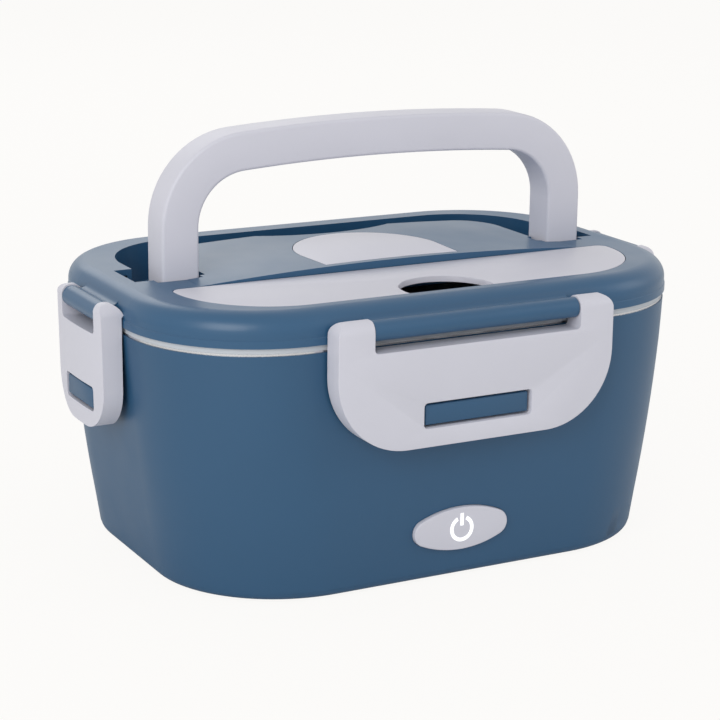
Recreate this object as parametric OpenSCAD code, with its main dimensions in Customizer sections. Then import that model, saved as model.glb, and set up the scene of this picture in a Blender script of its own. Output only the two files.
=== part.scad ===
// Electric lunch box: a heated steel tray in a double-walled case, a lift-off lid held by four latches.
// Millimetres, +Z up, front (button side) toward -Y, origin under the middle of the feet.

/* [Case] */
// Half width of the case at its rim
rim_hx = 115; // [95:1:140]
// Half depth of the case at its rim
rim_hy = 77.6; // [60:0.2:100]
// Corner radius of the rim
rim_r = 52; // [46:1:56]
// Height of the case from its underside to the rim
case_h = 95.9; // [80:0.1:120]
// How far the two end walls lean inward from rim to base
case_lean = 9; // [3:0.5:10]
// Radius of the rounded base edge
base_f = 3; // [2:0.5:9]
// Thickness of the outer wall
wall = 2.4; // [2:0.1:2.6]
// Height of the feet under the case
foot_h = 0.8; // [0.5:0.1:2]

/* [Tray] */
// Thickness of the steel tray
steel = 0.8; // [0.6:0.1:1]
// Height of the tray floor above the ground
tray_z = 35.2; // [34.8:0.1:36]

/* [Lid] */
// Height of the visible seal between tray and lid
seal_h = 2.2; // [1.5:0.1:2.5]
// Height of the lid above the seal
lid_h = 12.6; // [12:0.1:14]
// Radius of the rounded lid shoulder
lid_f = 7.5; // [5:0.5:8]
// Rise of the crowned deck in the middle
crown = 3; // [2:0.1:3.2]

/* [Handle] */
// Half width of the handle outside its legs
handle_hx = 93.8384; // [90:0.2:94.4]
// Height of the top of the handle above the ground
handle_top = 169.66; // [150:0.5:169.7]
// Thickness of the square handle section
handle_t = 15.2; // [12:0.1:15.2]
// Radius of the long edges of the handle
handle_c = 1.2; // [0.6:0.1:3]

/* [Latches] */
// Half width of the front and back latches
latch_hx = 59; // [52:0.5:60]
// Half width of the side latches
side_hx = 23; // [18:0.5:24]
// Lowest point of the latches above the ground
latch_z = 58.6; // [52:0.2:62]

/* [Button] */
// Half width of the oval button
button_hx = 20.5; // [15:0.5:22]
// Half height of the oval button
button_hz = 8.5; // [6:0.5:9]
// Height of the button centre above the ground
button_z = 20.4; // [19:0.2:22]

/* [Hidden] */
$fn = 96;
cx = rim_hx - rim_r;
cy = rim_hy - rim_r;
rim_z = foot_h + case_h;
flange_z = rim_z + steel;
lid_z = flange_z + seal_h;
top_z = lid_z + lid_h;
deck_z = top_z + crown;
crown_r = (85 * 85 + crown * crown) / (2 * crown);
pivot_y = -2.5;
pivot_z = top_z - 7.5;
half_t = handle_t / 2;
latch_e = 5.8;
latch_pz = lid_z + 4.6;
pin_r = 1.25;
bar_hx = 43.8;
slot_hx = bar_hx + 0.4;
arc_r = 36.2;
arc_x = handle_hx - arc_r;
arc_z = handle_top - 38.39;
bow_s = 0.07584;
bow_c = 0.99712;
bow_r = arc_r + arc_x / bow_s;
cover_x = 96.8;
cover_y0 = -66.5;
cover_y1 = -23.7;
cover_r = 38;
notch_r = 18.7;
notch_y = cover_y0 + 3.2;
vent_z = deck_z - 2.4;
vent_y = 1;

outer_body();
bottom_cover();
feet();
bottom_screws();
inner_liner();
heater_plate();
heater_element();
thermostat();
thermal_fuse();
control_board();
tact_switch();
button_led();
power_button();
button_symbol();
mains_inlet();
dc_inlet();
wiring();
food_tray();
lid_seal();
lid_liner();
lid_shell();
cutlery_pocket();
cutlery_cover();
spoon();
fork();
vent_cover();
vent_seal();
handle();
handle_pins();
latch_front();
latch_back();
latch_left();
latch_right();
long_latch_pins();
short_latch_pins();

// Profile from the corner centre (x = 0) out to a leaning side, with rounded lower and upper edges.
module side(r0, z0, r1, z1, f0 = 0, f1 = 0) {
    a = atan((r1 - r0) / (z1 - z0));
    x0 = r0 + f0 * tan(a) - f0 / cos(a);
    x1 = r1 - f1 * tan(a) - f1 / cos(a);
    low = f0 > 0 ? [[x0, z0], [x0, z0 + f0], [x0 + f0 * cos(a), z0 + f0 - f0 * sin(a)]] : [[r0, z0]];
    high = f1 > 0 ? [[x1 + f1 * cos(a), z1 - f1 - f1 * sin(a)], [x1, z1 - f1], [x1, z1]] : [[r1, z1]];
    intersection() {
        union() {
            polygon(concat([[0, z0]], low, high, [[0, z1]]));
            if (f0 > 0) translate([x0, z0 + f0]) circle(f0);
            if (f1 > 0) translate([x1, z1 - f1]) circle(f1);
        }
        translate([0, z0]) square([2 * rim_r, z1 - z0]);
    }
}

// Sweeps a profile round the rounded rectangle of the case.
module around(ax = cx, ay = cy) {
    for (q = [0 : 3])
        translate([(q == 0 || q == 3 ? 1 : -1) * ax, (q < 2 ? 1 : -1) * ay, 0])
            rotate([0, 0, 90 * q]) rotate_extrude(angle = 90) children();
    for (s = [0, 180]) rotate([0, 0, s]) {
        translate([ax, 0, 0]) rotate([90, 0, 0]) linear_extrude(2 * ay, center = true) children();
        translate([0, ay, 0]) rotate([90, 0, 90]) linear_extrude(2 * ax, center = true) children();
    }
}

// A full block: the swept side and the middle between the corner centres.
module block(z0, z1, ax = cx) {
    around(ax) children();
    translate([-ax, -cy, z0]) cube([2 * ax, 2 * cy, z1 - z0]);
}

// Half width of the case at a height, where its end walls lean inward.
function end_x(z) = rim_hx - case_lean * (rim_z - z) / case_h;

// The case between two heights, d inside its outer face. Each half is an upright block turned by the lean.
module case_block(z0, z1, d) {
    for (s = [0, 180]) rotate([0, 0, s]) intersection() {
        translate([rim_hx, 0, rim_z]) rotate([0, atan(case_lean / case_h), 0])
            translate([-rim_hx, 0, -case_h - 20]) linear_extrude(case_h + 40) {
                translate([-40, d - rim_hy]) square([cx + 40, 2 * (rim_hy - d)]);
                translate([-40, -cy]) square([cx + 40 + rim_r - d, 2 * cy]);
                for (y = [-cy, cy]) translate([cx, y]) circle(rim_r - d);
            }
        translate([-1, -rim_hy - 5, z0]) cube([rim_hx + 10, 2 * rim_hy + 10, z1 - z0]);
    }
}

// Rounded rectangle at a given distance from the corner centres.
module plan(r) {
    square([2 * cx, 2 * (cy + r)], center = true);
    square([2 * (cx + r), 2 * cy], center = true);
    for (x = [-cx, cx], y = [-cy, cy]) translate([x, y]) circle(r);
}

// Rounded square with its corner arcs.
module soft_square(a, b, r) {
    square([a, b - 2 * r], center = true);
    square([a - 2 * r, b], center = true);
    for (x = [-1, 1], y = [-1, 1]) translate([x * (a / 2 - r), y * (b / 2 - r)]) circle(r);
}

// Oval of four arcs, the outline of the button, spread by e.
module oval(e) {
    r = button_hz * 0.62;
    g = button_hx - r;
    big = (g * g + button_hz * button_hz - r * r) / (2 * (button_hz - r));
    n = g / (big - r);
    k = sqrt(1 - n * n);
    for (s = [-1, 1]) translate([s * g, 0]) circle(r + e);
    intersection() {
        translate([0, button_hz - big]) circle(big + e);
        translate([0, big - button_hz]) circle(big + e);
        square([2 * (g + (r + e) * n), 4 * button_hz], center = true);
    }
}

module lug(hx, e0, deep) {
    translate([-hx, -e0 - 9.1, latch_z + 8.2]) cube([2 * hx, 9.1 + deep, 7.7]);
}

module screw_spots() {
    for (x = [-1, 1], y = [-1, 1]) translate([x * (cx + 20.5), y * (cy + 20.5), 0]) children();
}

module outer_body() color([0.23, 0.35, 0.46]) {
    difference() {
        union() {
            difference() {
                union() {
                    case_block(foot_h + base_f, rim_z, 0);
                    block(foot_h, foot_h + base_f, end_x(foot_h + base_f) - rim_r)
                        side(rim_r - 0.2, foot_h, rim_r - 0.2, foot_h + base_f, base_f);
                }
                case_block(foot_h + 9.4, rim_z + 1, wall);
                block(foot_h + 4.4, foot_h + 9.4, end_x(foot_h + 9.4) - rim_r)
                    side(rim_r - wall - 0.2, foot_h + 4.4, rim_r - wall - 0.2, foot_h + 9.4, 5);
            }
            around(cx - 1, cy - 1)
                polygon([[rim_r - 3.6, rim_z - 3.3], [rim_r - 0.6, rim_z - 3.3], [rim_r - 0.9, rim_z - 8]]);
            screw_spots() translate([0, 0, foot_h + 3]) cylinder(r = 3, h = 9);
            lug(22.2, rim_hy, 2);
            rotate([0, 0, 180]) lug(22.2, rim_hy, 2);
            rotate([0, 0, 90]) lug(13, rim_hx, 4.4);
            rotate([0, 0, -90]) lug(13, rim_hx, 4.4);
            for (x = [-25, 25]) translate([x, -60.2, button_z + 6]) rotate([90, 0, 0])
                cylinder(r = 2.5, h = rim_hy - wall / 2 - 60.2);
        }
        translate([0, 0, foot_h - 1]) linear_extrude(3.2) plan(rim_r - 20);
        translate([0, 0, foot_h]) linear_extrude(9) plan(rim_r - 26);
        screw_spots() translate([0, 0, foot_h]) cylinder(r = 1.32, h = 10);
        translate([0, -60, button_z]) rotate([90, 0, 0]) linear_extrude(rim_hy - 57.6) oval(0.2);
        translate([-34, 66, 14]) cube([20.1, rim_hy - 60, 12.1]);
        translate([20, 66, 20]) rotate([-90, 0, 0]) cylinder(r = 5.55, h = rim_hy - 60);
    }
}

module bottom_cover() color([0.2, 0.3, 0.4]) {
    difference() {
        translate([0, 0, foot_h]) linear_extrude(2.2) plan(rim_r - 20.3);
        for (x = [-66, 66], y = [-40, 40]) translate([x, y, foot_h - 1]) cylinder(r = 7.05, h = 2);
        screw_spots() translate([0, 0, foot_h - 1]) cylinder(r = 3.1, h = 2.2);
        screw_spots() translate([0, 0, foot_h - 1]) cylinder(r = 1.6, h = 5);
        for (x = [-24 : 12 : 24]) translate([x - 2.1, -18, foot_h - 1]) cube([4.2, 36, 5]);
    }
}

module feet() color([0.62, 0.63, 0.67])
    for (x = [-66, 66], y = [-40, 40]) translate([x, y, 0]) cylinder(r = 7, h = foot_h + 1);

module bottom_screws() color([0.6, 0.6, 0.62])
    screw_spots() {
        difference() {
            translate([0, 0, foot_h + 0.15]) cylinder(r = 2.8, h = 1.05);
            translate([-1.8, -0.35, foot_h - 0.1]) cube([3.6, 0.7, 0.8]);
            translate([-0.35, -1.8, foot_h - 0.1]) cube([0.7, 3.6, 0.8]);
        }
        translate([0, 0, foot_h + 1.2]) cylinder(r = 1.3, h = 7);
    }

module inner_liner() color([0.82, 0.83, 0.85]) {
    difference() {
        union() {
            block(tray_z - 4.2, rim_z - 1.4) side(rim_r - 9.6, tray_z - 4.2, rim_r - 6, rim_z - 1.4, 8);
            around() polygon([[rim_r - 7, rim_z - 3.3], [rim_r - 2.9, rim_z - 3.3],
                [rim_r - 2.9, rim_z - 1.4], [rim_r - 7, rim_z - 1.4]]);
        }
        block(tray_z - 2.2, rim_z) side(rim_r - 11.1, tray_z - 2.2, rim_r - 7.42, rim_z, 7);
        translate([0, 0, tray_z - 6]) linear_extrude(6) plan(rim_r - 38);
    }
}

module heater_plate() color([0.72, 0.73, 0.75]) {
    translate([0, 0, tray_z - 2.2]) linear_extrude(2.2) plan(rim_r - 32);
    for (x = [-44, 44]) translate([x, 0, tray_z - 8.2]) cylinder(r = 2, h = 6.1);
}

module heater_element() color([0.5, 0.48, 0.45]) {
    translate([0, 0, tray_z - 5.7]) difference() {
        cylinder(r = 32, h = 3.5);
        translate([0, 0, -1]) cylinder(r = 24, h = 6);
    }
    for (x = [-6, 6]) translate([x - 1.5, 25, tray_z - 11.7]) cube([3, 0.8, 7]);
}

module thermostat() color([0.75, 0.72, 0.65]) {
    translate([0, 0, tray_z - 9.2]) cylinder(r = 8, h = 7);
    for (x = [-5, 5]) translate([x - 1.5, -0.4, tray_z - 14.2]) cube([3, 0.8, 5.5]);
}

module thermal_fuse() color([0.85, 0.83, 0.78]) {
    translate([0, -36, tray_z - 5]) rotate([0, 90, 0]) cylinder(r = 2, h = 14, center = true);
    translate([-4, -38.5, tray_z - 4.4]) cube([8, 5, 2.2]);
    for (s = [-1, 1]) translate([s * 9.5, -36, tray_z - 5]) rotate([0, 90, 0])
        cylinder(r = 0.5, h = 6, center = true);
}

module control_board() color([0.16, 0.38, 0.24]) {
    difference() {
        translate([-32, -60.2, 9]) cube([64, 1.6, 21]);
        for (x = [-25, 25]) translate([x, -60.2, button_z + 6]) rotate([90, 0, 0])
            cylinder(r = 1.2, h = 8, center = true);
    }
    for (x = [-18, 14]) translate([x, -58.6, 13]) cube([6, 5, 9]);
    translate([-5, -58.6, 22]) cube([10, 7, 6]);
}

module tact_switch() color([0.15, 0.15, 0.16]) {
    translate([-3, -62.9, button_z - 3]) cube([6, 2.7, 6]);
    translate([0, -62.9, button_z]) rotate([90, 0, 0]) cylinder(r = 1.7, h = 0.8);
}

module button_led() color([0.95, 0.95, 0.9])
    for (x = [-8, 8]) {
        translate([x, -60.2, button_z]) rotate([90, 0, 0]) cylinder(r = 1.5, h = 3.5);
        translate([x, -63.7, button_z]) sphere(r = 1.5);
    }

module power_button() color([0.72, 0.73, 0.78])
    difference() {
        union() {
            translate([0, 5 - rim_hy, button_z]) rotate([90, 0, 0]) linear_extrude(5) oval(0);
            translate([0, 4.6 - rim_hy, button_z]) rotate([90, 0, 0]) linear_extrude(1.2) oval(1.4);
            translate([0, -65, button_z]) rotate([90, 0, 0]) cylinder(r = 3, h = rim_hy - 69);
        }
        translate([0, 4.2 - rim_hy, button_z]) rotate([90, 0, 0]) linear_extrude(20) symbol();
    }

// Power mark: a ring open at the top with a bar in the gap.
module symbol() {
    difference() {
        circle(5.2);
        circle(3.7);
        translate([-1.6, 0]) square([3.2, 7]);
    }
    translate([-0.75, 1.2]) square([1.5, 5]);
}

module button_symbol() color([1, 1, 1])
    translate([0, 4.2 - rim_hy, button_z]) rotate([90, 0, 0]) linear_extrude(4.2) symbol();

module mains_inlet() color([0.1, 0.1, 0.11]) {
    difference() {
        translate([-33.95, 58, 14.05]) cube([20, rim_hy - 57.6, 12]);
        translate([-31.95, 61, 16.05]) cube([16, 20, 8]);
    }
    for (x = [-28, -20]) translate([x, 60, 20]) rotate([-90, 0, 0]) cylinder(r = 1.2, h = 10);
}

module dc_inlet() color([0.12, 0.12, 0.13]) {
    difference() {
        translate([20, 58, 20]) rotate([-90, 0, 0]) cylinder(r = 5.5, h = rim_hy - 57.6);
        translate([20, 61, 20]) rotate([-90, 0, 0]) cylinder(r = 3, h = 20);
    }
    translate([20, 60, 20]) rotate([-90, 0, 0]) cylinder(r = 0.8, h = 9);
}

// A wire along straight runs that overlap a little at each bend.
module wire(p, r) {
    for (i = [0 : len(p) - 2]) {
        v = p[i + 1] - p[i];
        k = i % 2 == 0 ? 1 : 0.9;
        translate(p[i]) rotate([0, acos(v[2] / norm(v)), atan2(v[1], v[0])])
            translate([0, 0, i == 0 ? 0 : -0.6 * r])
                cylinder(r = k * r, h = norm(v) + (i == 0 ? 0.6 : i == len(p) - 2 ? 0.6 : 1.2) * r);
    }
}

module wiring() {
    color([0.7, 0.12, 0.1]) wire([[-28, 57.8, 20], [-28, 44, 20], [-6, 34, 20], [-6, 26.6, 20.5]], 1);
    color([0.1, 0.2, 0.6]) wire([[-20, 57.8, 18], [-20, 52, 14], [46, 20, 12],
        [46, -50, 12], [28, -57.3, 12]], 1);
    color([0.1, 0.1, 0.1]) wire([[20, 57.8, 20], [20, 40, 20], [6, 34, 20], [6, 26.6, 20.5]], 1);
    color([0.9, 0.9, 0.85]) wire([[-13.6, -36, tray_z - 5], [-22, -40, 22], [-24, -52, 18],
        [-24, -57.3, 18]], 0.8);
}

module food_tray() color([0.8, 0.81, 0.83]) {
    difference() {
        block(tray_z, rim_z) side(rim_r - 13.6, tray_z, rim_r - 8.6, rim_z, 11);
        block(tray_z + steel, rim_z + 1)
            side(rim_r - 13.53 - steel, tray_z + steel, rim_r - 8.52 - steel, rim_z + 1, 11 - steel);
    }
    around()
        polygon([[rim_r - 9.34, rim_z], [rim_r - 0.5, rim_z], [rim_r - 0.5, flange_z],
            [rim_r - 9.34, flange_z]]);
}

module lid_seal() color([0.78, 0.8, 0.82])
    around() polygon([[rim_r - 8, flange_z], [rim_r - 0.7, flange_z], [rim_r - 0.7, lid_z],
        [rim_r - 4, lid_z], [rim_r - 4, lid_z + 1.4], [rim_r - 6, lid_z + 1.4], [rim_r - 6, lid_z],
        [rim_r - 8, lid_z]]);

module lid_liner() color([0.86, 0.87, 0.88]) {
    difference() {
        union() {
            block(lid_z - 7.3, lid_z) side(rim_r - 10.8, lid_z - 7.3, rim_r - 10.2, lid_z, 3);
            around() polygon([[rim_r - 11.4, lid_z], [rim_r - 6.1, lid_z], [rim_r - 6.1, lid_z + 1.5],
                [rim_r - 3.9, lid_z + 1.5], [rim_r - 3.9, lid_z], [rim_r - 2.7, lid_z],
                [rim_r - 2.7, lid_z + 2.7], [rim_r - 11.4, lid_z + 2.7]]);
        }
        block(lid_z - 5.7, lid_z + 3) side(rim_r - 12, lid_z - 5.7, rim_r - 11.38, lid_z + 3, 2);
        translate([0, 16, lid_z - 9]) cylinder(r = 3, h = 6);
    }
}

// Region of the trough for the folded handle, spread by e, without the deck in its middle.
module trough_area(e) {
    difference() {
        union() {
            translate([-96 - e, -10.6 - e]) square([192 + 2 * e, 37.4 + e]);
            translate([-60, 20]) square([120, 42.8 + e]);
            for (s = [-1, 1]) translate([s * 60, 26.8]) circle(36 + e);
        }
        difference() {
            union() {
                translate([-77.5 + e, -20]) square([155 - 2 * e, 46.5]);
                translate([-62.5, -20]) square([125, 61.5 - e]);
                for (s = [-1, 1]) translate([s * 62.5, 26.5]) circle(15 - e);
            }
            translate([0, 93.8]) circle(60.8 + e);
        }
    }
}

// Outline of the cutlery cover, spread by e, with rear corners of radius k.
module cover_area(e, k = 7) {
    mid = cover_y0 + cover_r + 0.3;
    translate([-cover_x - e, mid - 0.5]) square([2 * (cover_x + e), cover_y1 - k - mid + 0.7]);
    translate([-cover_x + k, mid]) square([2 * (cover_x - k), cover_y1 - mid + e]);
    translate([-cover_x + cover_r, cover_y0 - e]) square([2 * (cover_x - cover_r), 40]);
    for (s = [-1, 1]) translate([s * (cover_x - k), cover_y1 - k]) circle(k + e);
    intersection() {
        for (s = [-1, 1]) translate([s * (cover_x - cover_r), cover_y0 + cover_r]) circle(cover_r + e);
        translate([-120, mid - 60]) square([240, 60]);
    }
}

// Outline of the vent cover, spread by e.
module vent_area(e) {
    intersection() {
        circle(30.6 + e);
        translate([-40, -0.1]) square([80, 40]);
    }
    polygon([[-29.5 - e, -20 - e], [29.5 + e, -20 - e], [30.6 + e, 0], [-30.6 - e, 0]]);
}

// Crowned block over the deck, with its top lowered by d.
module crowned(y0, y1, z0, d) {
    translate([0, y1, 0]) rotate([90, 0, 0]) linear_extrude(y1 - y0)
        polygon(concat([[84, z0], [-84, z0]],
            [for (i = [-12 : 12]) [7 * i, deck_z - d - crown_r + sqrt(crown_r * crown_r - 49 * i * i)]]));
}

// Hinge bar on the lid: a round rod that runs through a hollow curve into the lid's shoulder.
module bar(hx, e0) {
    rod = [-latch_e, latch_pz];
    way = [lid_f - 0.2, top_z - lid_f] - rod;
    turn = acos(((6.9 * 6.9) + way * way - (lid_f + 3) * (lid_f + 3)) / (13.8 * norm(way)));
    aim = atan2(way[1], way[0]) + turn;
    dip = rod + 6.9 * [cos(aim), sin(aim)];
    foot = rod + way + (dip - rod - way) * lid_f / (lid_f + 3);
    translate([0, -e0 - latch_e, latch_pz]) rotate([0, 90, 0]) cylinder(r = 3.9, h = 2 * hx, center = true);
    translate([-hx, -e0, 0]) rotate([90, 0, 90]) linear_extrude(2 * hx) difference() {
        polygon([[1.5, latch_pz - 3.9], rod - [0, 3.9], rod, rod + 3.9 * [cos(aim), sin(aim)], dip, foot,
            [2.2, foot[1] - 1]]);
        translate(dip) circle(3);
    }
}

module lid_shell() color([0.24, 0.37, 0.48]) {
    difference() {
        union() {
            difference() {
                union() {
                    block(lid_z, top_z) side(rim_r + 0.2, lid_z, rim_r + 0.2, top_z, 0, lid_f);
                    around() polygon([[rim_r - 2, lid_z], [rim_r + 0.5, lid_z], [rim_r + 0.5, lid_z + 2.7],
                        [rim_r + 0.2, lid_z + 3], [rim_r - 2, lid_z + 3]]);
                    crowned(cover_y1, 52, top_z - 2, 0);
                    bar(bar_hx, rim_hy);
                    rotate([0, 0, 180]) bar(bar_hx, rim_hy);
                    rotate([0, 0, 90]) bar(16.1, rim_hx);
                    rotate([0, 0, -90]) bar(16.1, rim_hx);
                }
                block(lid_z - 1, top_z - 2.4) side(rim_r - 2.2, lid_z - 1, rim_r - 2.2, top_z - 2.4, 0, 5.5);
                crowned(cover_y1 + 3, 36, top_z - 3, 2.4);
            }
            translate([0, 0, top_z - 17.7]) linear_extrude(17) trough_area(1.8);
            translate([0, 0, top_z - 5.7]) linear_extrude(4) cover_area(1.8);
            translate([0, 0, top_z - 9.4]) linear_extrude(9) vent_area(1.8);
            translate([0, 16, top_z - 18.3]) cylinder(r = 4.5, h = 10);
            for (s = [-1, 1]) translate([s * 88.5, pivot_y, pivot_z]) rotate([0, 90, 0])
                cylinder(r = 4, h = 29, center = true);
        }
        translate([0, 0, top_z - 15.7]) linear_extrude(20) trough_area(0);
        for (s = [-1, 1]) translate([s * 99 - 4.5, -6, top_z - 4.8]) cube([9, 22, 10]);
        for (s = [-1, 1]) translate([s * 76.5 - 1.2, -7.5, top_z - 3.5]) cube([2.4, 8, 8]);
        translate([0, 0, top_z - 3.9]) linear_extrude(8) cover_area(0.3, 4);
        translate([0, 0, top_z - 9]) linear_extrude(9) cover_area(-4);
        translate([0, 0, top_z - 7.8]) linear_extrude(12) vent_area(0.3);
        translate([0, 16, top_z - 19]) cylinder(r = 2.5, h = 20);
        translate([0, vent_y, vent_z]) rotate([0, 90, 0]) cylinder(r = 1.25, h = 65, center = true);
        for (s = [-1, 1]) translate([s * 88.5, pivot_y, pivot_z]) rotate([0, 90, 0])
            cylinder(r = 2.01, h = 27, center = true);
        for (s = [-1, 1]) translate([0, s * (rim_hy + latch_e), latch_pz]) rotate([0, 90, 0])
            cylinder(r = pin_r + 0.01, h = 100, center = true);
        for (s = [-1, 1]) translate([s * (rim_hx + latch_e), 0, latch_pz]) rotate([90, 0, 0])
            cylinder(r = pin_r + 0.01, h = 50, center = true);
    }
    translate([0, 16, top_z - 7.9]) difference() {
        cylinder(r = 4.5, h = 2.3);
        translate([0, 0, -1]) cylinder(r = 2.5, h = 5);
    }
}

module cutlery_pocket() color([0.7, 0.71, 0.74]) {
    difference() {
        union() {
            translate([0, 0, top_z - 3.9]) linear_extrude(1.6) cover_area(0);
            translate([0, 0, top_z - 16.9]) linear_extrude(14) cover_area(-4.3);
        }
        translate([0, 0, top_z - 15.7]) linear_extrude(20) cover_area(-5.5);
    }
}

module cutlery_cover() color([0.76, 0.77, 0.82])
    translate([0, 0, top_z - 2.3]) linear_extrude(2.3) difference() {
        cover_area(0, 4);
        translate([0, notch_y]) circle(notch_r);
    }

module spoon() color([0.83, 0.84, 0.85])
    translate([-4, -53, top_z - 15.6]) {
        translate([-66, -4.5, 0]) cube([106, 9, 2]);
        translate([-66, 0, 0]) cylinder(r = 4.5, h = 2);
        translate([60, 0, 0]) difference() {
            linear_extrude(5) intersection() {
                translate([0, -27]) circle(34);
                translate([0, 27]) circle(34);
                square([42, 14.4], center = true);
            }
            translate([0, 0, 31]) sphere(r = 30);
        }
        translate([38, -3, 0]) cube([8, 6, 3]);
    }

module fork() color([0.83, 0.84, 0.85])
    translate([0, -37, top_z - 15.6]) {
        translate([-40, -4.5, 0]) cube([124, 9, 2]);
        translate([84, 0, 0]) cylinder(r = 4.5, h = 2);
        difference() {
            union() {
                translate([-84, -7, 0]) cube([38, 14, 2.4]);
                translate([-48, -7, 0]) linear_extrude(2.4) polygon([[0, 0], [10, 2.5], [10, 11.5], [0, 14]]);
            }
            for (y = [-3.7, 0, 3.7]) translate([-90, y - 0.85, -1]) cube([32, 1.7, 5]);
        }
    }

module vent_cover() color([0.76, 0.77, 0.82]) {
    intersection() {
        translate([0, 0, vent_z - 0.2]) linear_extrude(6) vent_area(0);
        crowned(-30, 40, vent_z - 2, 0);
    }
    translate([0, 16, top_z - 4.1]) cylinder(r = 3.5, h = vent_z - top_z + 4.5);
    translate([0, vent_y, vent_z]) rotate([0, 90, 0]) cylinder(r = 1.2, h = 64, center = true);
}

module vent_seal() color([0.85, 0.86, 0.87])
    translate([0, 16, top_z - 5.6]) cylinder(r = 5.5, h = 1.5);

// One side of the handle: leg, rounded corner and half of the bowed top bar.
module half_handle() {
    difference() {
        translate([arc_x, arc_z, 0]) rotate_extrude(angle = 90)
            translate([arc_r - half_t, 0]) soft_square(handle_t, handle_t, handle_c);
        translate([arc_x, arc_z, 0]) rotate([0, 0, acos(bow_s)]) translate([0, 0, -20]) cube([60, 30, 40]);
    }
    translate([arc_x + arc_r - half_t, pivot_z, 0]) rotate([-90, 0, 0]) linear_extrude(arc_z - pivot_z)
        soft_square(handle_t, handle_t, handle_c);
    translate([arc_x + arc_r - half_t, pivot_z, 0]) rotate([0, 90, 0])
        cylinder(r = half_t, h = handle_t, center = true);
}

module handle() color([0.76, 0.77, 0.82])
    translate([0, pivot_y, 0]) rotate([90, 0, 0]) difference() {
        union() {
            half_handle();
            mirror([1, 0, 0]) half_handle();
            translate([0, arc_z - bow_c * arc_x / bow_s, 0]) rotate([0, 0, 85.6]) rotate_extrude(angle = 8.8)
                translate([bow_r - half_t, 0]) soft_square(handle_t - 0.1, handle_t - 0.1, handle_c);
        }
        for (s = [-1, 1]) translate([s * (arc_x + arc_r - half_t), pivot_z, 0]) rotate([0, 90, 0])
            cylinder(r = 2.05, h = 20, center = true);
    }

module handle_pins() color([0.62, 0.63, 0.65])
    for (s = [-1, 1]) translate([s * 88.5, pivot_y, pivot_z]) rotate([0, 90, 0])
        cylinder(r = 2, h = 26.8, center = true);

// One latch facing -Y, hooked over a lug, its ears on the pin at the top.
module latch(hx, slot, win, cr, e0) {
    translate([0, -e0, 0]) difference() {
        intersection() {
            union() {
                difference() {
                    translate([0, -1.3, 0]) rotate([90, 0, 0]) linear_extrude(9) latch_face(hx, cr, 0);
                    translate([0, 1, 0]) rotate([90, 0, 0]) linear_extrude(8.5) difference() {
                        latch_face(hx, cr, 2.6);
                        translate([-hx, lid_z - 5.4]) square([2 * hx, 30]);
                    }
                }
                translate([0, -latch_e, latch_pz]) rotate([0, 90, 0])
                    cylinder(r = 4.5, h = 2 * hx, center = true);
            }
            rotate([90, 0, 0]) linear_extrude(20) latch_ends(hx);
        }
        translate([-slot, -20, lid_z - 3.1]) cube([2 * slot, 30, 20]);
        translate([0, 10, latch_z + 12.05]) rotate([90, 0, 0]) linear_extrude(30)
            soft_square(2 * win, 9.7, 1.5);
        translate([0, -latch_e, latch_pz]) rotate([0, 90, 0])
            cylinder(r = pin_r + 0.05, h = 2 * hx - 3.6, center = true);
    }
}

// Front outline of a latch up to its pin, drawn inward by d.
module latch_face(hx, cr, d) intersection() {
    union() {
        translate([-hx + d, latch_z + cr]) square([2 * (hx - d), 60]);
        translate([-hx + cr, latch_z + d]) square([2 * (hx - cr), 40]);
        for (s = [-1, 1]) translate([s * (hx - cr), latch_z + cr]) circle(cr - d);
    }
    translate([-hx, latch_z]) square([2 * hx, latch_pz - latch_z]);
}

// Front outline that gives the ears their rounded outer corners.
module latch_ends(hx) {
    translate([-hx, latch_z - 1]) square([2 * hx, latch_pz - latch_z]);
    translate([5.5 - hx, latch_z - 1]) square([2 * hx - 11, latch_pz - latch_z + 5.5]);
    for (s = [-1, 1]) translate([s * (hx - 5.5), latch_pz - 1]) circle(5.5);
}

module latch_front() color([0.76, 0.77, 0.82]) latch(latch_hx, slot_hx, 23.2, 29, rim_hy);

module latch_back() color([0.76, 0.77, 0.82]) rotate([0, 0, 180]) latch(latch_hx, slot_hx, 23.2, 29, rim_hy);

module latch_left() color([0.76, 0.77, 0.82]) rotate([0, 0, -90]) latch(side_hx, 16.5, 14, 17, rim_hx);

module latch_right() color([0.76, 0.77, 0.82]) rotate([0, 0, 90]) latch(side_hx, 16.5, 14, 17, rim_hx);

module long_latch_pins() color([0.6, 0.61, 0.63])
    for (s = [-1, 1]) translate([0, s * (rim_hy + latch_e), latch_pz]) rotate([0, 90, 0])
        cylinder(r = pin_r, h = 2 * latch_hx - 4, center = true);

module short_latch_pins() color([0.6, 0.61, 0.63])
    for (s = [-1, 1]) translate([s * (rim_hx + latch_e), 0, latch_pz]) rotate([90, 0, 0])
        cylinder(r = pin_r, h = 2 * side_hx - 4, center = true);
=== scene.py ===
# %% [markdown]
# # An electric lunch box, dressed for a studio picture
# The solids come from the engineering model as a fixed frame, and their sizes are never changed here. This
# notebook gives that frame its looks: soft edges on the moulded pieces, plastics, steel and silicone, and a
# camera that stands where the photographer stood. Lengths are written in millimetres, because that is how
# the model was drawn, and are made metres at the moment a mesh becomes an object.

# %% Open the frame
import math

import bmesh
import bpy
from mathutils import Matrix, Vector


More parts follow.
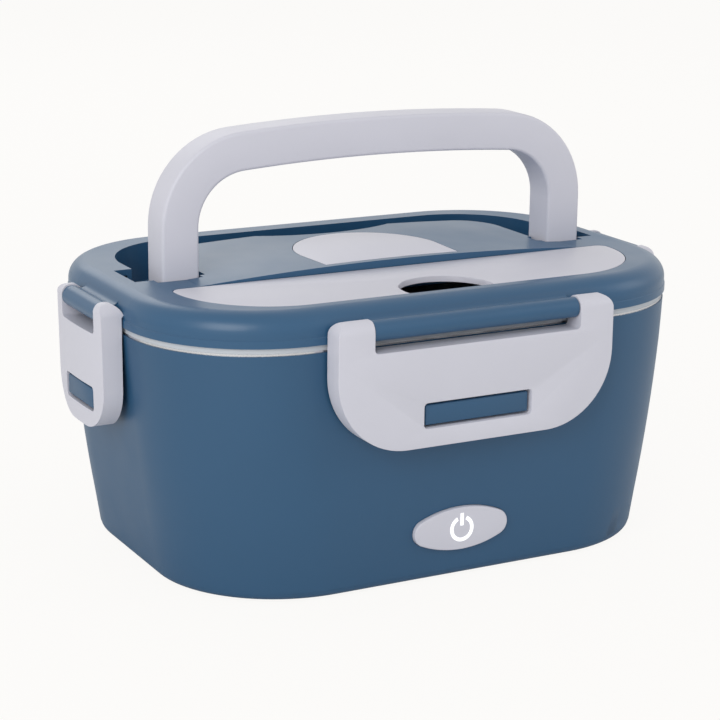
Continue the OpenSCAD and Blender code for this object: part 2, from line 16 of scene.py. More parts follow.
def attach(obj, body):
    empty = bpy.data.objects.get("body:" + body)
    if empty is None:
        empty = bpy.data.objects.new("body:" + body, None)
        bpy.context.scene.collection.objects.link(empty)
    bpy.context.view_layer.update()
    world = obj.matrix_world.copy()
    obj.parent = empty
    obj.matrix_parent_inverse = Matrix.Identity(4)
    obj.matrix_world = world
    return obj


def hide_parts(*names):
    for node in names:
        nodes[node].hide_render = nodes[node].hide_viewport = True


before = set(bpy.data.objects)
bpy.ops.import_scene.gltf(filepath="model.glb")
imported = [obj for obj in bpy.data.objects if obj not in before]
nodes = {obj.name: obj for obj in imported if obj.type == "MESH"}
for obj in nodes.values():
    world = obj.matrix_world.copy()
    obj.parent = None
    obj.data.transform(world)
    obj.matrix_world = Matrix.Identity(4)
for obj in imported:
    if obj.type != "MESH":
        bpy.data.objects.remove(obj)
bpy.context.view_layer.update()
MM = 0.001

# %% [markdown]
# ## The camera
# The picture was taken from the front left corner, a little above the lid, with a long lens: the far end of
# the box is hardly smaller than the near one. The viewpoint below was worked out from the rim, the base and
# the handle in the photograph, so a piece that is right in the model lands on the right spot of the
# picture.

# %% Place the camera
eye = Vector((-396.5, -735.0, 291.4)) * MM
look = Vector((-3.5, 0.0, 68.8)) * MM
roll = 0.011
camera_data = bpy.data.cameras.new("studio_camera")
camera_data.lens = 105.9
camera_data.sensor_width = 36
camera_data.clip_start = 0.05
camera_data.clip_end = 20
camera = bpy.data.objects.new("studio_camera", camera_data)
bpy.context.scene.collection.objects.link(camera)
aim = (look - eye).to_track_quat("-Z", "Y").to_matrix().to_4x4()
camera.matrix_world = Matrix.Translation(eye) @ aim @ Matrix.Rotation(roll, 4, "Z")
bpy.context.scene.camera = camera
print("the camera is", round((look - eye).length, 3), "m from the box")

# %% [markdown]
# ## Light and floor
# The photograph is a catalogue picture: soft light from all sides and a white ground. A bright world gives
# the even light, one large lamp from the upper left models the forms, a second opens the right side and a
# third lights the lid from behind. The camera and the reflections see a plain white backdrop, brighter than
# the sky that lights the box. The floor shows that white to the camera too, yet keeps a part of its own
# shading, so the faint shadow stays.

# %% Light the box
backdrop_white = (0.985, 0.975, 0.96, 1)
world = bpy.data.worlds.new("white_studio")
world.use_nodes = True
sky = world.node_tree.nodes["Background"]
sky.inputs["Color"].default_value = (1.0, 0.995, 0.985, 1)
sky.inputs["Strength"].default_value = 0.64
seen = world.node_tree.nodes.new("ShaderNodeBackground")
seen.inputs["Color"].default_value = backdrop_white
seen.inputs["Strength"].default_value = 1.0
path = world.node_tree.nodes.new("ShaderNodeLightPath")
either = world.node_tree.nodes.new("ShaderNodeMath")
either.operation = "MAXIMUM"
choose = world.node_tree.nodes.new("ShaderNodeMixShader")
link = world.node_tree.links.new
link(path.outputs["Is Camera Ray"], either.inputs[0])
link(path.outputs["Is Glossy Ray"], either.inputs[1])
link(either.outputs[0], choose.inputs[0])
link(sky.outputs[0], choose.inputs[1])
link(seen.outputs[0], choose.inputs[2])
link(choose.outputs[0], world.node_tree.nodes["World Output"].inputs["Surface"])
bpy.context.scene.world = world


def softbox(name, place, size, watts, target):
    """A square lamp that faces its target."""
    lamp = bpy.data.lights.new(name, "AREA")
    lamp.size = size
    lamp.energy = watts
    box = bpy.data.objects.new(name, lamp)
    box.location = place
    box.rotation_euler = (Vector(target) - Vector(place)).to_track_quat("-Z", "Y").to_euler()
    bpy.context.scene.collection.objects.link(box)


softbox("key_lamp", (-1.1, -0.9, 0.8), 0.9, 10, (0, 0, 0.08))
softbox("side_lamp", (1.3, -0.7, 0.7), 0.8, 3, (0, 0, 0.06))
softbox("back_lamp", (0.2, 1.4, 1.1), 1.0, 4.5, (0, 0, 0.1))
print("three lamps and a white world")

# %% Lay the floor
floor_half, floor_drop = 6, 0.0002
glow_share = 0.94  # the rest is the floor's own shading
ground = bmesh.new()
bmesh.ops.create_grid(ground, x_segments=1, y_segments=1, size=floor_half)
floor_mesh = bpy.data.meshes.new("floor")
ground.to_mesh(floor_mesh)
ground.free()
floor = bpy.data.objects.new("floor", floor_mesh)
floor.location.z = -floor_drop
bpy.context.scene.collection.objects.link(floor)
paper = bpy.data.materials.new("white_paper")
paper.use_nodes = True
tree = paper.node_tree
link = tree.links.new
matt = tree.nodes["Principled BSDF"]
matt.inputs["Base Color"].default_value = (0.9, 0.9, 0.89, 1)
matt.inputs["Roughness"].default_value = 0.9
glow = tree.nodes.new("ShaderNodeEmission")
glow.inputs["Color"].default_value = backdrop_white
share = tree.nodes.new("ShaderNodeMixShader")
ray = tree.nodes.new("ShaderNodeLightPath")
fade = tree.nodes.new("ShaderNodeMath")
fade.operation = "MULTIPLY"
fade.inputs[1].default_value = glow_share
link(ray.outputs["Is Camera Ray"], fade.inputs[0])
link(fade.outputs[0], share.inputs[0])
link(matt.outputs[0], share.inputs[1])
link(glow.outputs[0], share.inputs[2])
link(share.outputs[0], tree.nodes["Material Output"].inputs["Surface"])
floor_mesh.materials.append(paper)
print("the floor is", floor.dimensions.x, "m wide")

# %% [markdown]
# ## Moulded plastic
# The case and the lid are matt blue plastic, the handle, covers and latches a light grey one. Moulded
# plastic isn't perfectly even: its skin has a very fine spark-eroded grain that breaks up reflections, and
# the colour drifts a touch where the melt cooled slower. Both are noise in object space, so they stay on
# the piece when it moves.

# %% Mix a plastic
noise_low, noise_high = 0.3, 0.7  # most of a noise texture lies between these
drift_size = 45  # mm across a lighter or darker patch


def object_noise(tree, scale):
    """A noise texture in object space with the given scale in features per metre."""
    place = tree.nodes.new("ShaderNodeTexCoord")
    noise = tree.nodes.new("ShaderNodeTexNoise")
    noise.inputs["Scale"].default_value = scale
    tree.links.new(place.outputs["Object"], noise.inputs["Vector"])
    return noise


def spread(tree, source, low, high):
    """Turns the range where most of the noise lies into values between low and high."""
    remap = tree.nodes.new("ShaderNodeMapRange")
    remap.inputs["From Min"].default_value = noise_low
    remap.inputs["From Max"].default_value = noise_high
    remap.inputs["To Min"].default_value = low
    remap.inputs["To Max"].default_value = high
    tree.links.new(source, remap.inputs["Value"])
    return remap.outputs["Result"]


def drift(tree, source, colour, amount):
    """A colour that gets a little lighter and darker with the noise."""
    mix = tree.nodes.new("ShaderNodeMix")
    mix.data_type = "RGBA"
    mix.inputs["A"].default_value = (*[c * (1 - amount) for c in colour], 1)
    mix.inputs["B"].default_value = (*[min(1, c * (1 + amount)) for c in colour], 1)
    tree.links.new(source, mix.inputs["Factor"])
    return mix.outputs["Result"]


def grain(tree, source, height, strength):
    """A bump from noise; height is in metres."""
    bump = tree.nodes.new("ShaderNodeBump")
    bump.inputs["Distance"].default_value = height
    bump.inputs["Strength"].default_value = strength
    tree.links.new(source, bump.inputs["Height"])
    return bump.outputs["Normal"]


def finish(name, colour, rough, grain_size=0.5, grain_height=0.02, amount=0.04, wander=0.05, metal=0.0):
    """A moulded or cast surface: colour drift, roughness that wanders and a fine grain, sizes in mm."""
    material = bpy.data.materials.new(name)
    material.use_nodes = True
    tree = material.node_tree
    skin = tree.nodes["Principled BSDF"]
    wide = object_noise(tree, 1 / (drift_size * MM))
    wide.inputs["Detail"].default_value = 3
    tree.links.new(drift(tree, wide.outputs["Fac"], colour, amount), skin.inputs["Base Color"])
    gloss = spread(tree, wide.outputs["Fac"], rough - wander, rough + wander)
    tree.links.new(gloss, skin.inputs["Roughness"])
    fine = object_noise(tree, 1 / (grain_size * MM))
    fine.inputs["Detail"].default_value = 1
    tree.links.new(grain(tree, fine.outputs["Fac"], grain_height * MM, 0.5), skin.inputs["Normal"])
    skin.inputs["Metallic"].default_value = metal
    return material


blue_plastic = finish("blue_plastic", (0.020, 0.080, 0.166), 0.42)
# The lid's blue is the case's blue painted a touch lighter: painted light for the light that falls on the
# lid from above.
lid_blue_painted_lighter = finish("lid_blue_painted_lighter", (0.022, 0.087, 0.180), 0.34)
grey_plastic = finish("grey_plastic", (0.585, 0.585, 0.655), 0.46)
liner_plastic = finish("liner_plastic", (0.66, 0.67, 0.69), 0.5)
black_plastic = finish("black_plastic", (0.018, 0.018, 0.02), 0.5)
print("plastics:", blue_plastic.name, lid_blue_painted_lighter.name, grey_plastic.name, liner_plastic.name)

# %% [markdown]
# ## Steel, silicone and the electric parts
# The food tray is drawn from stainless sheet and brushed, so its roughness runs in long thin streaks. The
# seal is pale silicone, softer and duller than the plastic. The parts in the base are only seen when the
# box is taken apart, but each gets the finish of the real thing.

# %% Mix the metals
streak_width, streak_stretch, streak_height = 0.4, 0.03, 0.01


def brushed(name, colour, rough, along):
    """Metal with fine streaks along one axis, sizes in mm."""
    material = bpy.data.materials.new(name)
    material.use_nodes = True
    tree = material.node_tree
    skin = tree.nodes["Principled BSDF"]
    place = tree.nodes.new("ShaderNodeTexCoord")
    stretch = tree.nodes.new("ShaderNodeMapping")
    stretch.inputs["Scale"].default_value = [streak_stretch if axis == along else 1.0 for axis in "XYZ"]
    noise = tree.nodes.new("ShaderNodeTexNoise")
    noise.inputs["Scale"].default_value = 1 / (streak_width * MM)
    tree.links.new(place.outputs["Object"], stretch.inputs["Vector"])
    tree.links.new(stretch.outputs["Vector"], noise.inputs["Vector"])
    tree.links.new(drift(tree, noise.outputs["Fac"], colour, 0.06), skin.inputs["Base Color"])
    tree.links.new(spread(tree, noise.outputs["Fac"], rough - 0.06, rough + 0.08), skin.inputs["Roughness"])
    tree.links.new(grain(tree, noise.outputs["Fac"], streak_height * MM, 0.4), skin.inputs["Normal"])
    skin.inputs["Metallic"].default_value = 1.0
    return material


tray_steel = brushed("tray_steel", (0.64, 0.64, 0.65), 0.26, "X")
pin_steel = brushed("pin_steel", (0.58, 0.58, 0.6), 0.3, "X")
cutlery_steel = brushed("cutlery_steel", (0.68, 0.68, 0.69), 0.16, "X")
plate_aluminium = brushed("plate_aluminium", (0.72, 0.72, 0.73), 0.4, "Y")
print("metals:", tray_steel.name, pin_steel.name, cutlery_steel.name, plate_aluminium.name)

# %% Mix the rest
silicone = finish("silicone", (0.50, 0.53, 0.57), 0.62, grain_size=0.8, grain_height=0.03)
foot_rubber = finish("foot_rubber", (0.20, 0.21, 0.22), 0.8, grain_size=0.6, grain_height=0.05)
heater_iron = finish("heater_iron", (0.16, 0.15, 0.14), 0.7, grain_size=0.7, grain_height=0.08, amount=0.2)
heater_can = finish("heater_can", (0.60, 0.58, 0.54), 0.35, metal=1.0)
fuse_sleeve = finish("fuse_sleeve", (0.72, 0.68, 0.58), 0.6, grain_size=0.3, grain_height=0.04)
board_green = finish("board_green", (0.02, 0.13, 0.06), 0.3, grain_size=2.0, grain_height=0.03, amount=0.35)
lamp_lens = finish("lamp_lens", (0.8, 0.82, 0.8), 0.15, grain_size=1.5, grain_height=0.01)
wire_cover = finish("wire_cover", (0.42, 0.05, 0.045), 0.5, grain_size=0.4, grain_height=0.02, amount=0.1)
lit_symbol = finish("lit_symbol", (0.92, 0.93, 0.95), 0.4, amount=0.01)
lit = lit_symbol.node_tree.nodes["Principled BSDF"]
lit.inputs["Emission Color"].default_value = (1, 1, 1, 1)
lit.inputs["Emission Strength"].default_value = 0.35
print("the symbol glows at", lit.inputs["Emission Strength"].default_value)

# %% Paint the frame's own pieces
paint = {
    blue_plastic: ["outer_body", "bottom_cover"],
    lid_blue_painted_lighter: ["lid_shell"],
    grey_plastic: ["cutlery_pocket", "handle", "cutlery_cover", "vent_cover", "power_button",
                   "latch_front", "latch_back", "latch_left", "latch_right"],
    liner_plastic: ["inner_liner", "lid_liner"],
    black_plastic: ["mains_inlet", "dc_inlet", "tact_switch"],
    tray_steel: ["food_tray"],
    pin_steel: ["bottom_screws", "handle_pins", "long_latch_pins", "short_latch_pins"],
    cutlery_steel: ["spoon", "fork"],
    plate_aluminium: ["heater_plate"],
    silicone: ["lid_seal", "vent_seal"],
    foot_rubber: ["feet"],
    heater_iron: ["heater_element"],
    heater_can: ["thermostat"],
    fuse_sleeve: ["thermal_fuse"],
    board_green: ["control_board"],
    lamp_lens: ["button_led"],
    wire_cover: ["wiring"],
    lit_symbol: ["button_symbol"],
}
painted = [name for names in paint.values() for name in names]
for material, names in paint.items():
    for name in names:
        for slot in nodes[name].material_slots:
            slot.material = material
print(len(painted), "of", len(nodes), "nodes are painted")

# %% [markdown]
# ## Drawing with a pen
# The grey pieces are flat mouldings with a clear outline: lines and arcs. A bmesh can draw them like a pen
# on paper. A vertex pulled along is a line, and a vertex spun round a centre is an arc. When the pen is
# back at its start, the ring of edges is filled with one face, and that face is pulled up to the thickness
# of the moulding.

# %% Make the pen
near = 0.01  # two points closer than this are the same point
UPRIGHT = Matrix.Rotation(math.radians(90), 4, "X")
SIDEWAYS = Matrix.Rotation(math.radians(90), 4, "Y")


def line_to(bm, vert, x, y):
    """Pulls the pen in a straight line and gives back its new place."""
    new = bmesh.ops.extrude_vert_indiv(bm, verts=[vert])["verts"][0]
    new.co = (x, y, 0)
    return new


def arc_to(bm, vert, cx, cy, degrees, steps):
    """Turns the pen round a centre, counterclockwise for positive degrees."""
    turn = bmesh.ops.spin(bm, geom=[vert], cent=(cx, cy, 0), axis=(0, 0, 1), dvec=(0, 0, 0),
                          angle=math.radians(degrees), steps=steps, use_merge=False, use_duplicate=False)
    return next(g for g in turn["geom_last"] if isinstance(g, bmesh.types.BMVert))


def fill(bm):
    """Joins the pen's last point to its first and fills the outline."""
    bmesh.ops.remove_doubles(bm, verts=bm.verts[:], dist=near)
    bmesh.ops.contextual_create(bm, geom=bm.verts[:] + bm.edges[:])
    bmesh.ops.recalc_face_normals(bm, faces=bm.faces[:])
    if sum(f.normal.z for f in bm.faces) < 0:
        bmesh.ops.reverse_faces(bm, faces=bm.faces[:])


def thicken(bm, height):
    """Pulls the flat faces up and gives back the new top faces."""
    top = bmesh.ops.extrude_face_region(bm, geom=bm.faces[:])["geom"]
    moved = [g for g in top if isinstance(g, bmesh.types.BMVert)]
    bmesh.ops.translate(bm, verts=moved, vec=(0, 0, height))
    bmesh.ops.recalc_face_normals(bm, faces=bm.faces[:])
    return [g for g in top if isinstance(g, bmesh.types.BMFace)]


def everything(bm):
    """All vertices, edges and faces, as most operators want them."""
    return bm.verts[:] + bm.edges[:] + bm.faces[:]


def slice_at(bm, place, normal):
    """Cuts all faces along a plane and keeps both sides, so that each strip can be moved."""
    bmesh.ops.bisect_plane(bm, geom=everything(bm), plane_co=place, plane_no=normal)


def peg(bm, matrix, radius, length, segments=32):
    """Adds a closed cylinder along the Z axis of the matrix, with its middle at the matrix's origin."""
    bmesh.ops.create_cone(bm, cap_ends=True, segments=segments, radius1=radius, radius2=radius,
                          depth=length, matrix=matrix)


def sharp(edge, degrees=35):
    """True for an edge where two faces meet at more than this angle."""
    return len(edge.link_faces) == 2 and edge.calc_face_angle() > math.radians(degrees)


def sharp_above(bm, level):
    """The sharp edges that lie wholly above a level."""
    return [e for e in bm.edges if sharp(e) and all(v.co.z > level for v in e.verts)]


def round_off(bm, edges, width, segments=4):
    """Rounds edges as a moulding tool leaves them."""
    bmesh.ops.bevel(bm, geom=edges, offset=width, offset_type="OFFSET", segments=segments, profile=0.5,
                    affect="EDGES", clamp_overlap=True, material=-1)


def to_object(bm, name, body, replaced, material):
    """Makes the mesh an object in metres that rides on a body and stands for nodes of the frame."""
    bmesh.ops.scale(bm, verts=bm.verts[:], vec=(MM, MM, MM))
    mesh = bpy.data.meshes.new(name)
    bm.to_mesh(mesh)
    bm.free()
    mesh.materials.append(material)
    mesh.shade_smooth()
    mesh.set_sharp_from_angle(angle=math.radians(32))
    piece = bpy.data.objects.new(name, mesh)
    bpy.context.scene.collection.objects.link(piece)
    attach(piece, body)
    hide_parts(*replaced)
    print(name, "has", len(mesh.polygons), "faces")


print("the pen is ready")

# %% [markdown]
# ## The latches
# Each latch is a plate with two ears that hang on a pin in the lid. A lug of the case shows through its
# window. One half of the face is drawn, round the window and the slot, and mirrored. The face is pulled to
# its depth, the back is pushed in so that the walls stay thin, and the ears are rolled round the pin by
# squeezing their depth with height. The side latches also bulge and lean a little, like the end walls of
# the case behind them.

# %% Measure the latches
rim_x, rim_y = 115.0, 77.6
pivot_z = 104.3
latch_foot = 58.6
ear_round = 4.5
ear_corner, ear_inner = 5.5, 0.8
latch_depth = 9.0
latch_gap = 1.3
slot_floor = 96.6
hollow_top = slot_floor - 2.3  # the back is hollow below this height
latch_wall, latch_face = 2.6, 2.8
window_low, window_high = 65.8, 75.5
ear_top = pivot_z + ear_round
ear_rolls = [pivot_z + rise for rise in (1.2, 2.3, 3.2, 3.9)]  # where the ears are cut to be rolled
rim_soft, window_soft = 1.5, 0.5
fade_depth = 3  # the bulge fades to nothing this far behind the back
lean_height = 46  # the lean is reached this far below the pin
print("a latch is", round(ear_top - latch_foot, 1), "mm tall")


# %% Draw half a latch
def latch_half(bm, half, slot_half, window_half, corner):
    """The left half of the face: slot, ear, side, foot and window."""
    nook, soft = 1.6, 1.5
    p = bm.verts.new((0, slot_floor, 0))
    p = line_to(bm, p, -slot_half + nook, slot_floor)
    p = arc_to(bm, p, -slot_half + nook, slot_floor + nook, -90, 5)
    p = line_to(bm, p, -slot_half, ear_top - ear_inner)
    p = arc_to(bm, p, -slot_half - ear_inner, ear_top - ear_inner, 90, 4)
    p = line_to(bm, p, -half + ear_corner, ear_top)
    p = arc_to(bm, p, -half + ear_corner, ear_top - ear_corner, 90, 8)
    p = line_to(bm, p, -half, latch_foot + corner)
    p = arc_to(bm, p, -half + corner, latch_foot + corner, 90, 18)
    p = line_to(bm, p, 0, latch_foot)
    p = line_to(bm, p, 0, window_low)
    p = line_to(bm, p, -window_half + soft, window_low)
    p = arc_to(bm, p, -window_half + soft, window_low + soft, -90, 5)
    p = line_to(bm, p, -window_half, window_high - soft)
    p = arc_to(bm, p, -window_half + soft, window_high - soft, -90, 5)
    p = line_to(bm, p, 0, window_high)
    line_to(bm, p, 0, slot_floor)
    fill(bm)


# %% Shape a latch
def latch(name, body, turn, half, slot_half, window_half, corner, reach, bulge=0.0, lean=0.0):
    """One latch; reach is how far the rim is from the middle, turn its direction about Z."""
    bm = bmesh.new()
    latch_half(bm, half, slot_half, window_half, corner)
    bmesh.ops.mirror(bm, geom=everything(bm), matrix=Matrix.Identity(4), merge_dist=near, axis="X")
    bmesh.ops.recalc_face_normals(bm, faces=bm.faces[:])
    for height in [hollow_top, pivot_z] + ear_rolls:
        slice_at(bm, (0, height, 0), (0, 1, 0))
    for column in [half * n / 6 for n in range(-5, 6)] if bulge else []:
        slice_at(bm, (column, 0, 0), (1, 0, 0))
    thicken(bm, latch_depth)
    back = [f for f in bm.faces if f.normal.z < -0.9 and f.calc_center_median().y < hollow_top]
    bmesh.ops.inset_region(bm, faces=back, thickness=latch_wall, use_even_offset=True, use_boundary=True)
    pushed = list({v for f in back for v in f.verts})
    bmesh.ops.translate(bm, verts=pushed, vec=(0, 0, latch_depth - latch_face))

    def by_window(vert):
        return abs(vert.co.x) < window_half + 0.1 and window_low - 0.1 < vert.co.y < window_high + 0.1

    rim = sharp_above(bm, latch_depth - near)
    round_off(bm, [e for e in rim if not all(by_window(v) for v in e.verts)], rim_soft, 4)
    round_off(bm, sharp_above(bm, latch_depth - near), window_soft, 2)
    middle = latch_depth / 2
    for v in bm.verts:
        rise = max(0, v.co.y - pivot_z) / ear_round
        v.co.z = middle + (v.co.z - middle) * max(0.15, math.sqrt(max(0, 1 - rise**2)))
        depth_share = max(0, (v.co.z + fade_depth) / (latch_depth + fade_depth))
        share = depth_share if v.co.y < pivot_z else max(0, 1 - rise)
        v.co.z -= share * (bulge * (v.co.x / half) ** 2 + lean * max(0, pivot_z - v.co.y) / lean_height)
    stand = Matrix.Rotation(math.radians(turn), 4, "Z") @ Matrix.Translation((0, -reach - latch_gap, 0))
    bmesh.ops.transform(bm, verts=bm.verts[:], matrix=stand @ UPRIGHT)
    to_object(bm, "soft_" + name, body, [name], grey_plastic)


long_latch = {"half": 59.0, "slot_half": 44.2, "window_half": 23.2, "corner": 29, "reach": rim_y}
short_latch = {"half": 23.0, "slot_half": 16.5, "window_half": 14.0, "corner": 17, "reach": rim_x,
               "bulge": 1.2, "lean": 0.8}
latch("latch_front", "front_latch", 0, **long_latch)
latch("latch_back", "back_latch", 180, **long_latch)
latch("latch_left", "left_latch", -90, **short_latch)
latch("latch_right", "right_latch", 90, **short_latch)

# %% [markdown]
# ## The carry handle
# The handle is one bar of a rounded square section: two upright legs, two tight bends and a gently bowed
# top. The section is drawn once and swept along these five stretches. Straight stretches are extrusions and
# bent ones are spins, so every cross section stays exactly square to the path. Each foot ends in a cylinder
# round its pin.

# %% Sweep the handle
bar_half, bar_corner = 7.6, 1.3
bend_x, bend_z = 57.64, 131.27
bend_radius = 28.6
bow_radius, bow_z = 760.0, -626.54
leg_x = bend_x + bend_radius
handle_y, handle_pivot = -2.5, 104.8
bow_half = math.degrees(math.asin(bend_x / bow_radius))
bm = bmesh.new()
bmesh.ops.create_grid(bm, x_segments=1, y_segments=1, size=bar_half)
bmesh.ops.bevel(bm, geom=bm.verts[:], offset=bar_corner, segments=4, profile=0.5, affect="VERTICES",
                material=-1)
bmesh.ops.translate(bm, verts=bm.verts[:], vec=(leg_x, handle_y, handle_pivot))


def pull(bm, face, height):
    """Pulls an end face straight up or down."""
    grown = bmesh.ops.extrude_face_region(bm, geom=[face])["geom"]
    moved = [g for g in grown if isinstance(g, bmesh.types.BMVert)]
    bmesh.ops.translate(bm, verts=moved, vec=(0, 0, height))
    return next(g for g in grown if isinstance(g, bmesh.types.BMFace))


def swing(bm, face, x, z, degrees, steps):
    """Carries an end face round a centre, from the right leg over the top to the left one."""
    turn = bmesh.ops.spin(bm, geom=[face], cent=(x, handle_y, z), axis=(0, -1, 0), dvec=(0, 0, 0),
                          angle=math.radians(degrees), steps=steps, use_merge=False, use_duplicate=False)
    return next(g for g in turn["geom_last"] if isinstance(g, bmesh.types.BMFace))


end = pull(bm, bm.faces[:][0], bend_z - handle_pivot)
end = swing(bm, end, bend_x, bend_z, 90 - bow_half, 16)
end = swing(bm, end, 0, bow_z, 2 * bow_half, 14)
end = swing(bm, end, -bend_x, bend_z, 90 - bow_half, 16)
pull(bm, end, handle_pivot - bend_z)
for side in (-1, 1):
    foot = Matrix.Translation((side * leg_x, handle_y, handle_pivot)) @ SIDEWAYS
    peg(bm, foot, bar_half, 2 * bar_half - 0.1, 40)
bmesh.ops.recalc_face_normals(bm, faces=bm.faces[:])
to_object(bm, "soft_handle", "carry_handle", ["handle"], grey_plastic)

# %% [markdown]
# ## The two covers
# The cutlery cover is a long flat moulding with round front corners and a bite for the thumb at the front.
# The vent cover is D shaped, and its top follows the crown of the deck, so it is cut into strips and each
# strip is set to the height of the crown. A stem under it closes the vent hole, and a bar through it makes
# its two pivots.

# %% Shape the cutlery cover
cover_x, cover_front, cover_back = 96.8, -66.5, -23.7
lid_top = 112.3
cover_thick = 2.3
big, small = 38.0, 4.0
notch_deep, notch_r = 3.2, 18.7
notch_y = cover_front + notch_deep
notch_x = math.sqrt(notch_r**2 - notch_deep**2)
notch_turn = 180 + 2 * math.degrees(math.asin(notch_deep / notch_r))
bm = bmesh.new()
p = bm.verts.new((-cover_x, cover_front + big, 0))
p = line_to(bm, p, -cover_x, cover_back - small)
p = arc_to(bm, p, -cover_x + small, cover_back - small, -90, 8)
p = line_to(bm, p, cover_x - small, cover_back)
p = arc_to(bm, p, cover_x - small, cover_back - small, -90, 8)
p = line_to(bm, p, cover_x, cover_front + big)
p = arc_to(bm, p, cover_x - big, cover_front + big, -90, 20)
p = line_to(bm, p, notch_x, cover_front)
p = arc_to(bm, p, 0, notch_y, notch_turn, 20)
p = line_to(bm, p, -cover_x + big, cover_front)
p = arc_to(bm, p, -cover_x + big, cover_front + big, -90, 20)
fill(bm)
thicken(bm, cover_thick)
notch_back = -50
in_notch = [e for e in sharp_above(bm, cover_thick - near)
            if all(abs(v.co.x) < notch_x + 0.1 and v.co.y < notch_back for v in e.verts)]
round_off(bm, in_notch, 1.5, 5)
round_off(bm, sharp_above(bm, cover_thick - near), 0.5, 3)
bmesh.ops.translate(bm, verts=bm.verts[:], vec=(0, 0, lid_top - cover_thick))
to_object(bm, "soft_cutlery_cover", "cutlery_cover", ["cutlery_cover"], grey_plastic)

# %% Shape the vent cover
deck_top = 115.3
crown_half, crown_rise = 85, 3
crown_radius = (crown_half**2 + crown_rise**2) / (2 * crown_rise)
vent_r, vent_thick = 30.6, 2.6
vent_front_x, vent_front_y = 29.5, -20
bm = bmesh.new()
p = bm.verts.new((-vent_front_x, vent_front_y, 0))
p = line_to(bm, p, -vent_r, 0)
p = arc_to(bm, p, 0, 0, -180, 48)
p = line_to(bm, p, vent_front_x, vent_front_y)
fill(bm)
for strip in range(-25, 30, 5):
    slice_at(bm, (strip, 0, 0), (1, 0, 0))
thicken(bm, vent_thick)
for v in bm.verts:
    fall = crown_radius - math.sqrt(crown_radius**2 - v.co.x**2)
    v.co.z = deck_top - fall if v.co.z > 1 else deck_top - vent_thick
round_off(bm, sharp_above(bm, deck_top - 1), 0.5, 3)
peg(bm, Matrix.Translation((0, 16, 110.5)), 3.5, 4.6)
peg(bm, Matrix.Translation((0, 1, 112.9)) @ SIDEWAYS, 1.2, 63.8, 20)
to_object(bm, "soft_vent_cover", "vent_flap", ["vent_cover"], grey_plastic)

# %% [markdown]
# ## The power button
# The button is an oval of four arcs set flush into the front wall, with a stem behind it. Its mark, an open
# ring with a bar, is a white light guide that shines through the face. The ring is a thin strip spun round
# the middle.

# %% Shape the button
button_z = 20.4
oval_x, oval_z = 20.5, 8.5
button_thick = 4.4
tip = 0.62 * oval_z
tip_x = oval_x - tip
flat_r = (tip_x**2 + oval_z**2 - tip**2) / (2 * (oval_z - tip))
tip_turn = math.degrees(math.acos(tip_x / (flat_r - tip)))
bm = bmesh.new()
start = math.radians(tip_turn)
p = bm.verts.new((tip_x + tip * math.cos(start), -tip * math.sin(start), 0))
p = arc_to(bm, p, tip_x, 0, 2 * tip_turn, 18)
p = arc_to(bm, p, 0, oval_z - flat_r, 180 - 2 * tip_turn, 18)
p = arc_to(bm, p, -tip_x, 0, 2 * tip_turn, 18)
p = arc_to(bm, p, 0, flat_r - oval_z, 180 - 2 * tip_turn, 18)
fill(bm)
thicken(bm, button_thick)
round_off(bm, sharp_above(bm, button_thick - 0.1), 0.6, 4)
peg(bm, Matrix.Translation((0, 0, -2.5)), 3, 5.2)
seat = Matrix.Translation((0, -rim_y, button_z)) @ UPRIGHT @ Matrix.Translation((0, 0, -button_thick))
bmesh.ops.transform(bm, verts=bm.verts[:], matrix=seat)
to_object(bm, "soft_power_button", "power_button", ["power_button"], grey_plastic)

# %% Draw the power mark
mark_wide, mark_thick, mark_z = 1.5, 0.4, 4.3
ring_r, ring_start, ring_turn = 4.45, 115, 310
bar_y, bar_long = 3.7, 5
bm = bmesh.new()
bmesh.ops.create_grid(bm, x_segments=1, y_segments=1, size=0.5)
bmesh.ops.scale(bm, verts=bm.verts[:], vec=(mark_wide, mark_thick, 1))
bmesh.ops.transform(bm, verts=bm.verts[:], matrix=Matrix.Translation((ring_r, 0, mark_z)) @ UPRIGHT)
bmesh.ops.rotate(bm, verts=bm.verts[:], cent=(0, 0, 0),
                 matrix=Matrix.Rotation(math.radians(ring_start), 3, "Z"))
bmesh.ops.spin(bm, geom=bm.faces[:], cent=(0, 0, 0), axis=(0, 0, 1), dvec=(0, 0, 0),
               angle=math.radians(ring_turn), steps=40, use_merge=False, use_duplicate=False)
bar = Matrix.Translation((0, bar_y, mark_z)) @ Matrix.Diagonal((mark_wide, bar_long, mark_thick, 1))
bmesh.ops.create_cube(bm, size=1, matrix=bar)
bmesh.ops.recalc_face_normals(bm, faces=bm.faces[:])
bmesh.ops.transform(bm, verts=bm.verts[:], matrix=seat)
to_object(bm, "soft_button_symbol", "power_button", ["button_symbol"], lit_symbol)

# %% [markdown]
# ## The case
# The lid shell is shown as the frame has it. The case gets two things that its solid doesn't have. A copy
# of its mesh is cleaned up, so that loose triangles are welded and flat regions become single faces, and
# the sharp edges of its lugs are rounded by half a millimetre. Then its walls are curved as they are in the
# photograph.

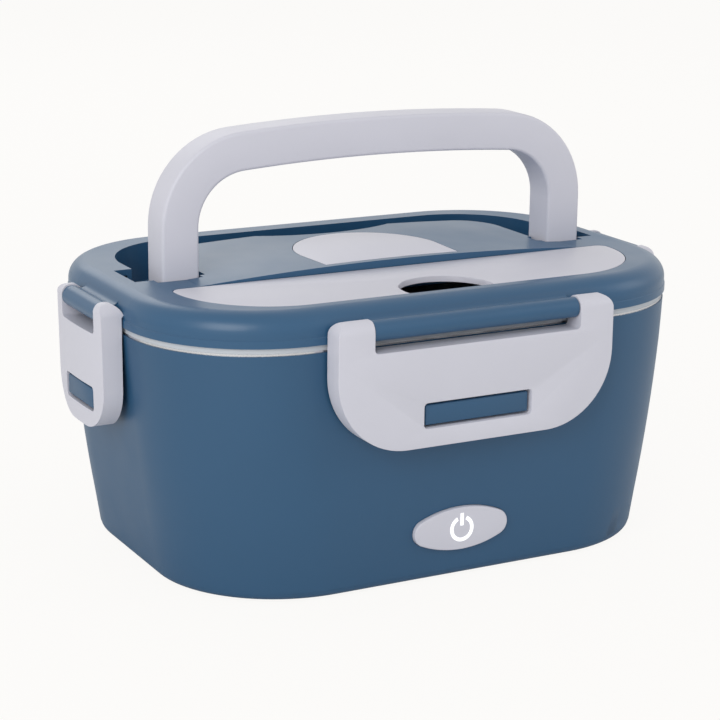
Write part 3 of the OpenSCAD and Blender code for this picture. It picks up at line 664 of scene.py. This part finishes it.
# %% Soften the case
def softened(node, width, chosen):
    """A welded copy of a node of the frame; chosen says of an edge's middle if it is rounded."""
    bm = bmesh.new()
    bm.from_mesh(nodes[node].data)
    bmesh.ops.scale(bm, verts=bm.verts[:], vec=(1 / MM, 1 / MM, 1 / MM))
    bmesh.ops.remove_doubles(bm, verts=bm.verts[:], dist=0.002)
    bmesh.ops.dissolve_limit(bm, angle_limit=math.radians(0.5), verts=bm.verts[:], edges=bm.edges[:])
    edges = [e for e in bm.edges if sharp(e, 40) and chosen((e.verts[0].co + e.verts[1].co) / 2)]
    round_off(bm, edges, width, 2)
    return bm


# %% Curve the walls
core_x, core_y = 54.3, 25.6  # half size of the oblong core that the walls stand round
corner_r = 52
skin_from = 40  # nearer to the core than this are the inner faces
end_from = 45  # beyond this the wall is an end wall or a corner
belly_z, belly_half = 66, 30.7  # height where an end wall is fullest, and from there to where it is as drawn
belly_foot = 7  # below this the curve doesn't go on
lean_from = 80  # height where front and back begin to draw in


def moulded(bm, belly, front_lean):
    """Curves the end walls of the case and lets its front and back draw in a little towards the base.

    A point is measured from the core of the plan, and only the outer skin moves. The lugs stay.
    """
    for height in range(16, 95, 8):
        slice_at(bm, (0, 0, height), (0, 0, 1))
    for v in bm.verts:
        x, y, z = v.co
        side = Vector((max(0, abs(x) - core_x), max(0, abs(y) - core_y)))
        if side.length < skin_from or abs(x) > rim_x + 0.5 or abs(y) > rim_y + 0.5:
            continue
        if abs(x) > end_from:
            bow = 1 - ((max(z, belly_foot) - belly_z) / belly_half) ** 2
            v.co.x += math.copysign(1, x) * belly * bow
        v.co.y -= math.copysign(side.y, y) / corner_r * front_lean * max(0, lean_from - z) / lean_from
    return bm


case = softened("outer_body", 0.5, lambda p: abs(p.x) > rim_x + 1 or abs(p.y) > rim_y + 1)
to_object(moulded(case, 0.75, 2.6), "soft_outer_body", "case", ["outer_body"], blue_plastic)

# %% [markdown]
# ## Closing
# The colours are shown with the standard view transform.

# %% Finish
bpy.context.scene.view_settings.view_transform = "Standard"
